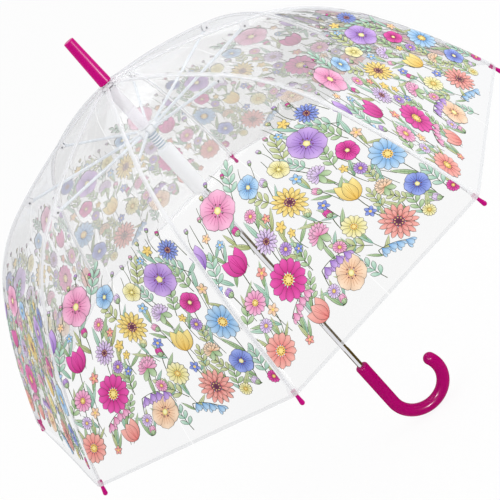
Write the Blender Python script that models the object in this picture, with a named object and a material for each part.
"""Child's dome umbrella: a clear film canopy on eight bowed ribs, with a hook handle.

Metres, +Z up. The shaft stands on the Z axis, and the origin is the middle of the grip,
the straight part of the handle. The hook bends towards +X. Each rib turns on the wire
of the top notch, each stretcher turns on the rivet of its rib joint, and the runner
slides on the shaft. The pose is the open one.
"""

import math

import bmesh
import bpy
from mathutils import Matrix, Vector

for old in list(bpy.data.objects):
    bpy.data.objects.remove(old)

# Clearances
FIT_GAP = 0.0003
TURN_GAP = 0.0003
SLIDE_GAP = 0.0004
STOP_GAP = 0.0008

# Handle
GRIP_LENGTH = 0.072
HANDLE_RADIUS = 0.0086
HANDLE_EDGE = 0.0025
HOOK_RADIUS = 0.0379
HOOK_SWEEP_DEG = 202.0
SOCKET_DEPTH = 0.055

# Shaft and ferrule
SHAFT_RADIUS = 0.004
SHAFT_WALL = 0.0005
FERRULE_LENGTH = 0.064
FERRULE_BASE_RADIUS = 0.0082
FERRULE_TOP_RADIUS = 0.0067
FERRULE_EDGE = 0.0012
FERRULE_SOCKET_DEPTH = 0.045

# Rib line: three arcs from the apex to the rim, with the slope where each one starts
APEX_HEIGHT = 0.5290
CROWN_ARC_RADIUS = 0.800
SHOULDER_ARC_RADIUS = 0.210
SKIRT_ARC_RADIUS = 0.690
CROWN_START_DEG = 9.0
SHOULDER_START_DEG = 22.5
SKIRT_START_DEG = 53.0
RIM_DEG = 69.0

# Ribs
RIB_COUNT = 8
RIB_PHASE_DEG = -8.6
RIB_RADIUS = 0.0015
RIB_END_SETBACK = 0.0075
BLADE_HALF_THICKNESS = 0.0008
BLADE_HALF_HEIGHT = 0.0017
BLADE_NOSE = 0.0019
BLADE_LENGTH = 0.008
BLADE_TAPER_LENGTH = 0.014
RIB_SEGMENTS = 19

# Top notch, its tie wire and the sleeve below it
HINGE_RADIUS = 0.0085
HINGE_DROP = 0.0025
NOTCH_RADIUS = 0.0110
NOTCH_HUB_WALL = 0.0018
NOTCH_TOP_DROP = 0.0005
NOTCH_LOWER_LIP = 0.0026
WIRE_RADIUS = 0.0005
SLEEVE_RADIUS = 0.0075
SLEEVE_GROOVES = 10
SLEEVE_GROOVE_PITCH = 0.0027
SLEEVE_GROOVE_DEPTH = 0.0005

# Rib joint, where the stretcher takes hold of the rib
JOINT_DISTANCE = 0.1735
JOINT_DROP = 0.0052
JOINT_LENGTH = 0.0110
JOINT_CHEEK = 0.0014
JOINT_WALL = 0.0010
JOINT_CHIN = 0.0024
JOINT_GRIP = 0.0009
RIVET_RADIUS = 0.0008
RIVET_HEAD_RADIUS = 0.0012
RIVET_HEAD_HEIGHT = 0.0006

# Stretchers
STRETCHER_HALF_THICKNESS = 0.0018
STRETCHER_HALF_HEIGHT = 0.0019
STRETCHER_EYE_HALF_HEIGHT = 0.0019
STRETCHER_OUTER_NOSE = 0.0019
STRETCHER_INNER_NOSE = 0.0013
STRETCHER_BLADE_LENGTH = 0.008
STRETCHER_TAPER_LENGTH = 0.010

# Runner
RUNNER_PIVOT_RADIUS = 0.0122
RUNNER_PIVOT_HEIGHT = 0.4565
CROWN_RADIUS = 0.0140
CROWN_HALF_HEIGHT = 0.0040
CROWN_EDGE = 0.0008
CROWN_HUB_RADIUS = 0.0088
NECK_RADIUS = 0.0063
NECK_LENGTH = 0.0245
NECK_RINGS = 7
NECK_RING_DEPTH = 0.0006
BARREL_RADIUS = 0.0105
BARREL_LENGTH = 0.072
BARREL_EDGE = 0.0030
RECESS_RADIUS = 0.0075
RECESS_LENGTH = 0.020
RECESS_LIP = 0.003
WINDOW_HALF_WIDTH = 0.003
WINDOW_LENGTH = 0.014
CLOSED_TIP_RADIUS = 0.030

# Spring catches in the shaft
CATCH_THICKNESS = 0.0008
CATCH_LENGTH = 0.014
CATCH_PROUD = 0.0018
CATCH_BACK = 0.0010
CATCH_FOOT = 0.0015
CATCH_SHOULDER = 0.0008

# Canopy film and rib tips
FILM_THICKNESS = 0.0002
FILM_STANDOFF = 0.0022
FILM_INNER_RADIUS = 0.0060
FILM_SEAM_GAP = 0.0004
HEM_SETBACK = 0.006
PANEL_ROWS = 24
TIP_RADIUS = 0.0027
TIP_WALL = 0.0008
TIP_WAIST_RADIUS = 0.0018
TIP_WAIST_STEP = 0.0013
TIP_OVERLAP = 0.012
TIP_OVERHANG = 0.0065
TIP_LIFT_LENGTH = 0.045

# Facets of turned pieces, rods and holes, and the angle past which an edge is hard
ROUND_SIDES = 24
HANDLE_SIDES = 16
HOOK_STEPS = 20
TIP_SIDES = 12
ROD_SIDES = 8
HOLE_SIDES = 10
WIRE_SIDES = 6
WIRE_STEPS = 32
HARD_EDGE_DEG = 38.0
ROUND_END_DEG = 76.0

ARCS = (
    (CROWN_START_DEG, SHOULDER_START_DEG, CROWN_ARC_RADIUS),
    (SHOULDER_START_DEG, SKIRT_START_DEG, SHOULDER_ARC_RADIUS),
    (SKIRT_START_DEG, RIM_DEG, SKIRT_ARC_RADIUS),
)
RIB_LINE_LENGTH = sum(bend * math.radians(end - start) for start, end, bend in ARCS)
RIB_PITCH = math.tau / RIB_COUNT
RIB_ANGLES = [math.radians(RIB_PHASE_DEG) + RIB_PITCH * i for i in range(RIB_COUNT)]
AXIS_X = Vector((1.0, 0.0, 0.0))
AXIS_Y = Vector((0.0, 1.0, 0.0))


def rib_line(distance):
    """Radius, height and downward slope of the rib line at a distance from the apex."""
    radius, height = 0.0, APEX_HEIGHT
    slope = math.radians(CROWN_START_DEG)
    left = distance
    for start, end, bend in ARCS:
        first = math.radians(start)
        slope = first + min(left / bend, math.radians(end) - first)
        radius += bend * (math.sin(slope) - math.sin(first))
        height -= bend * (math.cos(first) - math.cos(slope))
        left -= bend * (slope - first)
        if left <= 0.0:
            break
    return radius + left * math.cos(slope), height - left * math.sin(slope), slope


def beside_rib(distance, outward=0.0):
    """Point of the rib's plane that lies a given step outside the rib line."""
    radius, height, slope = rib_line(distance)
    return Vector((radius + outward * math.sin(slope), 0.0, height + outward * math.cos(slope)))


def distance_at_radius(radius):
    """Distance along the first arc at which the rib line reaches a small radius."""
    first = math.radians(CROWN_START_DEG)
    return CROWN_ARC_RADIUS * (math.asin(math.sin(first) + radius / CROWN_ARC_RADIUS) - first)


def ease(value):
    """Smooth step from 0 to 1."""
    held = min(max(value, 0.0), 1.0)
    return held * held * (3.0 - 2.0 * held)


def swung(point, centre, angle):
    """Point of the rib's plane turned about a centre, so that its outer side goes down."""
    return centre + Matrix.Rotation(angle, 3, "Y") @ (point - centre)


# Places that follow from the sizes
HINGE_DISTANCE = distance_at_radius(HINGE_RADIUS)
HINGE_POINT = beside_rib(HINGE_DISTANCE) - Vector((0.0, 0.0, HINGE_DROP))
HINGE_POINT.x = HINGE_RADIUS
JOINT_PIVOT = beside_rib(JOINT_DISTANCE, -JOINT_DROP)
RUNNER_PIVOT = Vector((RUNNER_PIVOT_RADIUS, 0.0, RUNNER_PIVOT_HEIGHT))
TIP_END = beside_rib(RIB_LINE_LENGTH + TIP_OVERHANG)
RIB_END = RIB_LINE_LENGTH - RIB_END_SETBACK

# Closing: the ribs swing down until their tips stand at the closed radius
TIP_ARM = TIP_END - HINGE_POINT
OPEN_TIP_ANGLE = math.atan2(-TIP_ARM.z, TIP_ARM.x)
CLOSED_TIP_ANGLE = math.acos((CLOSED_TIP_RADIUS - HINGE_RADIUS) / TIP_ARM.length)
CLOSING_ANGLE = CLOSED_TIP_ANGLE - OPEN_TIP_ANGLE
STRETCHER_LENGTH = (JOINT_PIVOT - RUNNER_PIVOT).length
CLOSED_JOINT = swung(JOINT_PIVOT, HINGE_POINT, CLOSING_ANGLE)
CLOSED_REACH = CLOSED_JOINT.x - RUNNER_PIVOT_RADIUS
CLOSED_DROP = math.sqrt(STRETCHER_LENGTH**2 - CLOSED_REACH**2)
RUNNER_TRAVEL = RUNNER_PIVOT_HEIGHT - CLOSED_JOINT.z + CLOSED_DROP

HANDLE_TOP = GRIP_LENGTH / 2
HOOK_START = -GRIP_LENGTH / 2
SHAFT_BORE = SHAFT_RADIUS - SHAFT_WALL
SOCKET_RADIUS = SHAFT_RADIUS + FIT_GAP
RUNNER_BORE = SHAFT_RADIUS + SLIDE_GAP
SLOT_HALF = BLADE_HALF_THICKNESS + TURN_GAP
GROOVE_HALF = WIRE_RADIUS + FIT_GAP
NOTCH_TOP = APEX_HEIGHT - NOTCH_TOP_DROP
NOTCH_BOTTOM = HINGE_POINT.z - GROOVE_HALF - NOTCH_LOWER_LIP
RUNNER_TOP = RUNNER_PIVOT_HEIGHT + CROWN_HALF_HEIGHT
NECK_TOP = RUNNER_PIVOT_HEIGHT - CROWN_HALF_HEIGHT
BARREL_TOP = NECK_TOP - NECK_LENGTH
RUNNER_BOTTOM = BARREL_TOP - BARREL_LENGTH
FILM_START = distance_at_radius(FILM_INNER_RADIUS)
FILM_END = RIB_LINE_LENGTH - HEM_SETBACK
FERRULE_BASE = beside_rib(FILM_START, FILM_STANDOFF + FILM_THICKNESS).z + FIT_GAP
SHAFT_BOTTOM = HANDLE_TOP - SOCKET_DEPTH + FIT_GAP
SHAFT_TOP = FERRULE_BASE + FERRULE_SOCKET_DEPTH - FIT_GAP
TIP_BASE = RIB_LINE_LENGTH - TIP_OVERLAP
TIP_BORE = RIB_RADIUS + FIT_GAP
TIP_COLLAR_RADIUS = TIP_BORE + TIP_WALL
TIP_STANDOFF = (max(TIP_RADIUS, TIP_COLLAR_RADIUS) + FIT_GAP) / math.cos(RIB_PITCH / 2)
EYE_RADIUS = WIRE_RADIUS + TURN_GAP
RIVET_HOLE = RIVET_RADIUS + TURN_GAP
JOINT_HALF_WIDTH = SLOT_HALF + JOINT_CHEEK
TOP_CATCH_SHOULDER = RUNNER_BOTTOM - STOP_GAP
BOTTOM_CATCH_SHOULDER = RUNNER_BOTTOM - RUNNER_TRAVEL + RECESS_LIP + STOP_GAP


def finish(shape, name):
    """Mesh from a bmesh, facing out and shaded smooth across its soft edges."""
    bmesh.ops.recalc_face_normals(shape, faces=shape.faces)
    mesh = bpy.data.meshes.new(name)
    shape.to_mesh(mesh)
    shape.free()
    return shaded(mesh)


def shaded(mesh):
    """Smooth shading that keeps the hard edges."""
    mesh.shade_smooth()
    mesh.set_sharp_from_angle(angle=math.radians(HARD_EDGE_DEG))
    return mesh


def loft(name, rings, ring_shaped=False):
    """Skin over rings of points: capped at both ends, or joined end to end."""
    shape = bmesh.new()
    loops = [[shape.verts.new(point) for point in ring] for ring in rings]
    following = loops[1:] + loops[:1] if ring_shaped else loops[1:]
    for lower, upper in zip(loops, following):
        for i in range(len(lower)):
            j = (i + 1) % len(lower)
            shape.faces.new((lower[i], lower[j], upper[j], upper[i]))
    if not ring_shaped:
        shape.faces.new(loops[0])
        shape.faces.new(loops[-1])
    return finish(shape, name)


def circle(sides):
    """Cosine and sine pairs round a circle."""
    return [(math.cos(math.tau * i / sides), math.sin(math.tau * i / sides)) for i in range(sides)]


def turned(name, profile, sides=ROUND_SIDES, bored=True):
    """Solid of revolution about Z from radius and height pairs, bored through or capped."""
    rings = [[(radius * c, radius * s, height) for c, s in circle(sides)] for radius, height in profile]
    return loft(name, rings, ring_shaped=bored)


def rounding(radius, height, edge, start_deg, end_deg, steps=3):
    """Arc of a profile about a centre, between two angles measured from the outward side."""
    points = []
    for i in range(steps + 1):
        angle = math.radians(start_deg + (end_deg - start_deg) * i / steps)
        points.append((radius + edge * math.cos(angle), height + edge * math.sin(angle)))
    return points


def block(name, low, high, place=Matrix.Identity(4)):
    """Box between two corners of a placed frame."""
    shape = bmesh.new()
    middle = [(a + b) / 2 for a, b in zip(low, high)]
    size = [b - a for a, b in zip(low, high)]
    matrix = place @ Matrix.Translation(middle) @ Matrix.Diagonal((*size, 1.0))
    bmesh.ops.create_cube(shape, size=1.0, matrix=matrix)
    return finish(shape, name)


def pin(name, radius, length, place):
    """Cylinder along the Z of a placed frame, centred on it."""
    shape = bmesh.new()
    bmesh.ops.create_cone(
        shape,
        cap_ends=True,
        segments=HOLE_SIDES,
        radius1=radius,
        radius2=radius,
        depth=length,
        matrix=place,
    )
    return finish(shape, name)


def crosswise(point):
    """Frame at a point of the rib's plane whose Z runs across that plane."""
    return Matrix.Translation(point) @ Matrix.Rotation(math.pi / 2, 4, "X")


def radial_slots(name, half_width, inner, outer, low, high):
    """Boxes that stand round the axis, one on each rib's line."""
    shape = bmesh.new()
    size = Matrix.Diagonal((outer - inner, 2 * half_width, high - low, 1.0))
    middle = Matrix.Translation(((inner + outer) / 2, 0.0, (low + high) / 2))
    for angle in RIB_ANGLES:
        bmesh.ops.create_cube(shape, size=1.0, matrix=Matrix.Rotation(angle, 4, "Z") @ middle @ size)
    return finish(shape, name)


def cut(mesh, cutters):
    """Mesh with the cutter meshes taken away."""
    blank = bpy.data.objects.new("blank", mesh)
    bpy.context.scene.collection.objects.link(blank)
    tools = []
    for i, cutter in enumerate(cutters):
        tool = bpy.data.objects.new(f"cutter_{i}", cutter)
        tool.hide_render = True
        tool.display_type = "WIRE"
        bpy.context.scene.collection.objects.link(tool)
        tools.append(tool)
        bite = blank.modifiers.new(f"cut_{i}", "BOOLEAN")
        bite.operation = "DIFFERENCE"
        bite.solver = "EXACT"
        bite.object = tool
    ready = blank.evaluated_get(bpy.context.evaluated_depsgraph_get())
    result = bpy.data.meshes.new_from_object(ready)
    for spent in [blank, *tools]:
        bpy.data.objects.remove(spent)
    return shaded(result)


def put(name, mesh, material, place=(0.0, 0.0, 0.0), turn=0.0):
    """Named object at a place, turned about Z."""
    piece = bpy.data.objects.new(name, mesh)
    piece.location = place
    piece.rotation_euler = (0.0, 0.0, turn)
    if not mesh.materials:
        mesh.materials.append(material)
    bpy.context.scene.collection.objects.link(piece)


def put_round(name, mesh, material, origin):
    """One object on each rib's line, with its own origin on the joint that carries it."""
    mesh.transform(Matrix.Translation(-origin))
    for i, angle in enumerate(RIB_ANGLES):
        put(f"{name}_{i + 1}", mesh, material, Matrix.Rotation(angle, 3, "Z") @ origin, angle)


def principled(name, red, green, blue, roughness, metallic=0.0, alpha=1.0):
    """Principled material with linear colour values."""
    made = bpy.data.materials.new(name)
    made.use_nodes = True
    shader = made.node_tree.nodes["Principled BSDF"]
    shader.inputs["Base Color"].default_value = (red, green, blue, 1.0)
    shader.inputs["Roughness"].default_value = roughness
    shader.inputs["Metallic"].default_value = metallic
    shader.inputs["Alpha"].default_value = alpha
    return made


def handle_mesh():
    """Hook and grip: a round bar along a line and an arc, with a socket down its top."""

    def ring(centre, across, radius):
        return [centre + radius * (c * across + s * AXIS_Y) for c, s in circle(HANDLE_SIDES)]

    def hook_frame(turn):
        across = Vector((-math.cos(turn), 0.0, -math.sin(turn)))
        return Vector((HOOK_RADIUS, 0.0, HOOK_START)) + HOOK_RADIUS * across, across

    sweep = math.radians(HOOK_SWEEP_DEG)
    centre, across = hook_frame(sweep)
    beyond = Vector((-across.z, 0.0, across.x))
    rings = []
    for radius, rise in rounding(0.0, 0.0, HANDLE_RADIUS, ROUND_END_DEG, 0.0)[:-1]:
        rings.append(ring(centre + rise * beyond, across, radius))
    for i in range(HOOK_STEPS + 1):
        centre, across = hook_frame(sweep * (1.0 - i / HOOK_STEPS))
        rings.append(ring(centre, across, HANDLE_RADIUS))
    top = rounding(HANDLE_RADIUS - HANDLE_EDGE, HANDLE_TOP - HANDLE_EDGE, HANDLE_EDGE, 0.0, 90.0)
    top += [(SOCKET_RADIUS, HANDLE_TOP), (SOCKET_RADIUS, HANDLE_TOP - SOCKET_DEPTH)]
    rings += [ring(Vector((0.0, 0.0, height)), -AXIS_X, radius) for radius, height in top]
    return loft("handle_hook", rings)


def ferrule_mesh():
    """Tapered cap with a flat end, bored from below for the shaft."""
    top = FERRULE_BASE + FERRULE_LENGTH
    edge = FERRULE_EDGE
    profile = rounding(FERRULE_TOP_RADIUS - edge, top - edge, edge, 90.0, 0.0)
    profile += rounding(FERRULE_BASE_RADIUS - edge, FERRULE_BASE + edge, edge, 0.0, -90.0)
    profile += [(SOCKET_RADIUS, FERRULE_BASE), (SOCKET_RADIUS, FERRULE_BASE + FERRULE_SOCKET_DEPTH)]
    return turned("ferrule", profile, bored=False)


def shaft_mesh():
    """Steel tube with a window for each spring catch."""
    tube = turned("shaft_tube", [
        (SHAFT_RADIUS, SHAFT_BOTTOM),
        (SHAFT_RADIUS, SHAFT_TOP),
        (SHAFT_BORE, SHAFT_TOP),
        (SHAFT_BORE, SHAFT_BOTTOM),
    ])
    half = CATCH_THICKNESS / 2 + TURN_GAP
    inner, outer = SHAFT_BORE / 2, 2 * SHAFT_RADIUS
    rise = CATCH_SHOULDER + STOP_GAP
    windows = [
        (TOP_CATCH_SHOULDER - CATCH_LENGTH, TOP_CATCH_SHOULDER + rise),
        (BOTTOM_CATCH_SHOULDER - rise, BOTTOM_CATCH_SHOULDER + CATCH_LENGTH),
    ]
    return cut(tube, [block("window", (inner, -half, low), (outer, half, high)) for low, high in windows])


def catch_mesh(name, shoulder, foot):
    """Flat spring leaf: square at its shoulder and sloping back into the shaft at its foot."""
    away = 1.0 if shoulder > foot else -1.0
    proud = SHAFT_RADIUS + CATCH_PROUD
    outline = [
        (-CATCH_BACK, foot - away * CATCH_FOOT),
        (CATCH_BACK, foot - away * CATCH_FOOT),
        (proud, shoulder - away * CATCH_SHOULDER),
        (proud, shoulder),
        (-CATCH_BACK, shoulder),
    ]
    half = CATCH_THICKNESS / 2
    return loft(name, [[(x, y, z) for x, z in outline] for y in (-half, half)])


def notch_mesh():
    """Ring that holds the ribs' inner ends, grooved for the tie wire and slotted for each rib."""
    low, high = HINGE_POINT.z - GROOVE_HALF, HINGE_POINT.z + GROOVE_HALF
    floor = HINGE_RADIUS - GROOVE_HALF
    body = turned("top_notch", [
        (SOCKET_RADIUS, NOTCH_BOTTOM),
        (NOTCH_RADIUS, NOTCH_BOTTOM),
        (NOTCH_RADIUS, low),
        (floor, low),
        (floor, high),
        (NOTCH_RADIUS, high),
        (NOTCH_RADIUS, NOTCH_TOP),
        (SOCKET_RADIUS, NOTCH_TOP),
    ])
    slots = radial_slots(
        "slots",
        SLOT_HALF,
        SOCKET_RADIUS + NOTCH_HUB_WALL,
        NOTCH_RADIUS + NOTCH_HUB_WALL,
        NOTCH_BOTTOM - NOTCH_LOWER_LIP,
        NOTCH_TOP + NOTCH_LOWER_LIP,
    )
    return cut(body, [slots])


def wire_mesh():
    """Ring of wire through the ribs' eyes."""
    round_wire = circle(WIRE_SIDES)
    section = [(HINGE_RADIUS + WIRE_RADIUS * c, HINGE_POINT.z + WIRE_RADIUS * s) for c, s in round_wire]
    return turned("notch_wire", section, sides=WIRE_STEPS)


def sleeve_mesh():
    """Sleeve between the notch and the runner, with ring grooves near its lower end where they have room."""
    top, bottom = NOTCH_BOTTOM - FIT_GAP, RUNNER_TOP + STOP_GAP
    profile = [(SOCKET_RADIUS, top), (SOCKET_RADIUS, bottom), (SLEEVE_RADIUS, bottom)]
    room = int((top - bottom) / SLEEVE_GROOVE_PITCH) - 1
    for i in range(1, min(SLEEVE_GROOVES, room) + 1):
        middle = bottom + i * SLEEVE_GROOVE_PITCH
        profile += [
            (SLEEVE_RADIUS, middle - SLEEVE_GROOVE_DEPTH),
            (SLEEVE_RADIUS - SLEEVE_GROOVE_DEPTH, middle),
            (SLEEVE_RADIUS, middle + SLEEVE_GROOVE_DEPTH),
        ]
    profile.append((SLEEVE_RADIUS, top))
    return turned("top_sleeve", profile)


def runner_mesh():
    """Runner: slotted crown, ringed neck and smooth barrel, with a recess for the lower catch."""
    profile = [(RUNNER_BORE, RUNNER_TOP)]
    profile += rounding(CROWN_RADIUS - CROWN_EDGE, RUNNER_TOP - CROWN_EDGE, CROWN_EDGE, 90.0, 0.0, 1)
    profile += rounding(CROWN_RADIUS - CROWN_EDGE, NECK_TOP + CROWN_EDGE, CROWN_EDGE, 0.0, -90.0, 1)
    ring_pitch = NECK_LENGTH / NECK_RINGS
    for i in range(NECK_RINGS):
        ring_top = NECK_TOP - i * ring_pitch
        profile += [(NECK_RADIUS - NECK_RING_DEPTH, ring_top), (NECK_RADIUS, ring_top - ring_pitch / 2)]
    profile.append((NECK_RADIUS - NECK_RING_DEPTH, BARREL_TOP))
    profile += rounding(BARREL_RADIUS - BARREL_EDGE, BARREL_TOP - BARREL_EDGE, BARREL_EDGE, 90.0, 0.0)
    profile += rounding(BARREL_RADIUS - BARREL_EDGE, RUNNER_BOTTOM + BARREL_EDGE, BARREL_EDGE, 0.0, -90.0)
    lip = RUNNER_BOTTOM + RECESS_LIP
    profile += [
        (RUNNER_BORE, RUNNER_BOTTOM),
        (RUNNER_BORE, lip),
        (RECESS_RADIUS, lip),
        (RECESS_RADIUS, lip + RECESS_LENGTH),
        (RUNNER_BORE, lip + RECESS_LENGTH),
    ]
    slots = radial_slots(
        "slots",
        SLOT_HALF,
        CROWN_HUB_RADIUS,
        2 * CROWN_RADIUS,
        NECK_TOP - CROWN_EDGE,
        RUNNER_TOP + CROWN_EDGE,
    )
    low = lip + STOP_GAP
    window = block(
        "window",
        (SHAFT_RADIUS, -WINDOW_HALF_WIDTH, low),
        (2 * BARREL_RADIUS, WINDOW_HALF_WIDTH, low + WINDOW_LENGTH),
    )
    return cut(turned("runner", profile), [slots, window])


def bar_ring(centre, upward, half_thickness, half_height):
    """Ring of a bar's section, given half its thickness across the rib's plane and half its height in it."""
    return [centre + half_thickness * s * AXIS_Y + half_height * c * upward for c, s in circle(ROD_SIDES)]


def rib_mesh():
    """Bowed rod whose inner end is a flat blade with an eye for the tie wire."""
    up = Vector((0.0, 0.0, 1.0))
    tapered = BLADE_LENGTH + BLADE_TAPER_LENGTH
    length = RIB_END - HINGE_DISTANCE
    steps = [0.0, BLADE_LENGTH / 3, 2 * BLADE_LENGTH / 3, BLADE_LENGTH, (BLADE_LENGTH + tapered) / 2]
    steps += [tapered + (length - tapered) * i / RIB_SEGMENTS for i in range(RIB_SEGMENTS + 1)]
    nose = HINGE_POINT - BLADE_NOSE * AXIS_X
    rings = [bar_ring(nose, up, BLADE_HALF_THICKNESS, BLADE_HALF_HEIGHT / 2)]
    for step in steps:
        slope = rib_line(HINGE_DISTANCE + step)[2]
        rounder = ease((step - BLADE_LENGTH) / BLADE_TAPER_LENGTH)
        sunk = (1.0 - ease(step / tapered)) * HINGE_DROP
        centre = beside_rib(HINGE_DISTANCE + step) - sunk * up
        normal = Vector((math.sin(slope), 0.0, math.cos(slope)))
        thickness = BLADE_HALF_THICKNESS + (RIB_RADIUS - BLADE_HALF_THICKNESS) * rounder
        height = BLADE_HALF_HEIGHT + (RIB_RADIUS - BLADE_HALF_HEIGHT) * rounder
        rings.append(bar_ring(centre, normal, thickness, height))
    eye = pin("eye", EYE_RADIUS, 4 * RIB_RADIUS, crosswise(HINGE_POINT))
    return cut(loft("rib", rings), [eye])


def stretcher_mesh():
    """Straight bar from the rib joint to the runner's crown, with a flat eye at each end."""
    line = RUNNER_PIVOT - JOINT_PIVOT
    along = line.normalized()
    normal = Vector((-along.z, 0.0, along.x))
    flat, full = STRETCHER_BLADE_LENGTH, STRETCHER_BLADE_LENGTH + STRETCHER_TAPER_LENGTH
    half_line = [0.0, flat, (flat + full) / 2, full]
    steps = [-STRETCHER_OUTER_NOSE, *half_line]
    steps += [line.length - step for step in reversed(half_line)] + [line.length + STRETCHER_INNER_NOSE]
    rings = []
    for step in steps:
        inset = min(step, line.length - step)
        wider = ease((inset - flat) / STRETCHER_TAPER_LENGTH)
        thickness = BLADE_HALF_THICKNESS + (STRETCHER_HALF_THICKNESS - BLADE_HALF_THICKNESS) * wider
        height = STRETCHER_EYE_HALF_HEIGHT + (STRETCHER_HALF_HEIGHT - STRETCHER_EYE_HALF_HEIGHT) * wider
        if inset < 0.0:
            height /= 2
        rings.append(bar_ring(JOINT_PIVOT + step * along, normal, thickness, height))
    ends = ((JOINT_PIVOT, RIVET_HOLE), (RUNNER_PIVOT, EYE_RADIUS))
    eyes = [pin("eye", hole, 4 * STRETCHER_HALF_THICKNESS, crosswise(end)) for end, hole in ends]
    return cut(loft("stretcher", rings), eyes)


def joint_mesh():
    """Clip that grips the rib from below, with two cheeks for the stretcher's rivet."""
    slope = rib_line(JOINT_DISTANCE)[2]
    place = Matrix.Translation(beside_rib(JOINT_DISTANCE)) @ Matrix.Rotation(slope, 4, "Y")
    half = JOINT_LENGTH / 2
    body = block(
        "rib_joint",
        (-half, -JOINT_HALF_WIDTH, -JOINT_DROP - JOINT_CHIN),
        (half, JOINT_HALF_WIDTH, JOINT_GRIP),
        place,
    )
    seat = RIB_RADIUS + FIT_GAP
    channel = pin("channel", seat, 2 * JOINT_LENGTH, place @ Matrix.Rotation(math.pi / 2, 4, "Y"))
    slot = block(
        "slot",
        (-JOINT_LENGTH, -SLOT_HALF, -2 * (JOINT_DROP + JOINT_CHIN)),
        (JOINT_LENGTH, SLOT_HALF, -seat - JOINT_WALL),
        place,
    )
    hole = pin("hole", RIVET_HOLE, 4 * JOINT_HALF_WIDTH, crosswise(JOINT_PIVOT))
    return cut(body, [channel, slot, hole])


def rivet_mesh():
    """Rivet across the rib joint, with a head outside each cheek."""
    inner = JOINT_HALF_WIDTH + FIT_GAP
    outer = inner + RIVET_HEAD_HEIGHT
    profile = [
        (RIVET_HEAD_RADIUS, -outer),
        (RIVET_HEAD_RADIUS, -inner),
        (RIVET_RADIUS, -inner),
        (RIVET_RADIUS, inner),
        (RIVET_HEAD_RADIUS, inner),
        (RIVET_HEAD_RADIUS, outer),
    ]
    mesh = turned("joint_rivet", profile, sides=HOLE_SIDES, bored=False)
    mesh.transform(crosswise(JOINT_PIVOT))
    return mesh


def tip_mesh():
    """Drop on the rib's outer end: a collar bored for the rib, a waist, and a bulb with a round nose."""
    foot, rib_end = beside_rib(TIP_BASE), beside_rib(RIB_END)
    length = TIP_OVERLAP + TIP_OVERHANG
    depth = (rib_end - foot).length + FIT_GAP
    collar_end = depth + TIP_WALL
    profile = [(TIP_BORE, depth), (TIP_BORE, 0.0), (TIP_COLLAR_RADIUS - FIT_GAP, 0.0)]
    profile += [(TIP_COLLAR_RADIUS, 2 * FIT_GAP), (TIP_COLLAR_RADIUS, collar_end)]
    profile.append((TIP_WAIST_RADIUS, collar_end + TIP_WAIST_STEP))
    profile += rounding(0.0, length - TIP_RADIUS, TIP_RADIUS, 0.0, ROUND_END_DEG)
    mesh = turned("rib_tip", profile, sides=TIP_SIDES, bored=False)
    slope = math.atan2(foot.z - rib_end.z, rib_end.x - foot.x)
    mesh.transform(Matrix.Translation(foot) @ Matrix.Rotation(math.pi / 2 + slope, 4, "Y"))
    return mesh


def film_standoff(distance):
    """Height of the film's inner face over the rib line: it lifts over the tip's collar."""
    lift = ease((distance - TIP_BASE + TIP_LIFT_LENGTH) / (TIP_LIFT_LENGTH - TIP_RADIUS))
    return FILM_STANDOFF + (TIP_STANDOFF - FILM_STANDOFF) * lift


def panel_mesh():
    """One panel of film from a rib to the next: flat across, bent along, its four edges closed."""
    aside = FILM_SEAM_GAP / 2 * AXIS_Y
    to_next = Matrix.Rotation(RIB_PITCH, 3, "Z")
    rings = []
    for i in range(PANEL_ROWS + 1):
        distance = FILM_START + (FILM_END - FILM_START) * i / PANEL_ROWS
        inside = beside_rib(distance, film_standoff(distance))
        outside = beside_rib(distance, film_standoff(distance) + FILM_THICKNESS)
        near = [inside + aside, outside + aside]
        far = [to_next @ (outside - aside), to_next @ (inside - aside)]
        rings.append(near + far)
    return loft("canopy_panel", rings)


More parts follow.
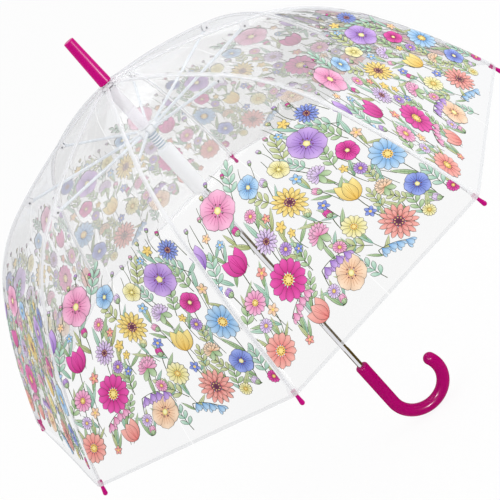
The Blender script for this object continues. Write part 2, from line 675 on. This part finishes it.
put("handle_hook", handle_mesh(), principled("handle magenta plastic", 0.48, 0.0, 0.19, 0.18))
put("shaft_tube", shaft_mesh(), principled("shaft chromed steel", 0.62, 0.63, 0.65, 0.16, metallic=1.0))
put("ferrule", ferrule_mesh(), principled("ferrule magenta plastic", 0.66, 0.0, 0.27, 0.12))
put("top_notch", notch_mesh(), principled("notch white nylon", 0.86, 0.86, 0.88, 0.35))
put("notch_wire", wire_mesh(), principled("tie wire steel", 0.50, 0.50, 0.52, 0.30, metallic=1.0))
put("top_sleeve", sleeve_mesh(), principled("sleeve white nylon", 0.84, 0.83, 0.88, 0.35))
put("runner", runner_mesh(), principled("runner white nylon", 0.88, 0.88, 0.90, 0.30))

CATCH_STEEL = principled("catch spring steel", 0.40, 0.40, 0.42, 0.35, metallic=1.0)
for catch, shoulder, foot in (
    ("top_catch", TOP_CATCH_SHOULDER, TOP_CATCH_SHOULDER - CATCH_LENGTH),
    ("bottom_catch", BOTTOM_CATCH_SHOULDER, BOTTOM_CATCH_SHOULDER + CATCH_LENGTH),
):
    leaf = catch_mesh(catch, shoulder, foot)
    leaf.transform(Matrix.Translation((0.0, 0.0, -foot)))
    put(catch, leaf, CATCH_STEEL, (0.0, 0.0, foot))

RIB_WHITE = principled("rib white fibreglass", 0.86, 0.87, 0.89, 0.30)
JOINT_WHITE = principled("joint white nylon", 0.88, 0.88, 0.90, 0.35)
RIVET_STEEL = principled("rivet dark steel", 0.12, 0.12, 0.13, 0.35, metallic=1.0)
TIP_MAGENTA = principled("tip magenta plastic", 0.55, 0.0, 0.20, 0.20)
STRETCHER_WHITE = principled("stretcher white plastic", 0.85, 0.86, 0.88, 0.30)
CLEAR_FILM = principled("canopy clear film", 0.90, 0.92, 0.94, 0.08, alpha=0.25)
put_round("rib", rib_mesh(), RIB_WHITE, HINGE_POINT)
put_round("rib_joint", joint_mesh(), JOINT_WHITE, HINGE_POINT)
put_round("joint_rivet", rivet_mesh(), RIVET_STEEL, HINGE_POINT)
put_round("rib_tip", tip_mesh(), TIP_MAGENTA, HINGE_POINT)
put_round("stretcher", stretcher_mesh(), STRETCHER_WHITE, JOINT_PIVOT)
put_round("canopy_panel", panel_mesh(), CLEAR_FILM, HINGE_POINT)
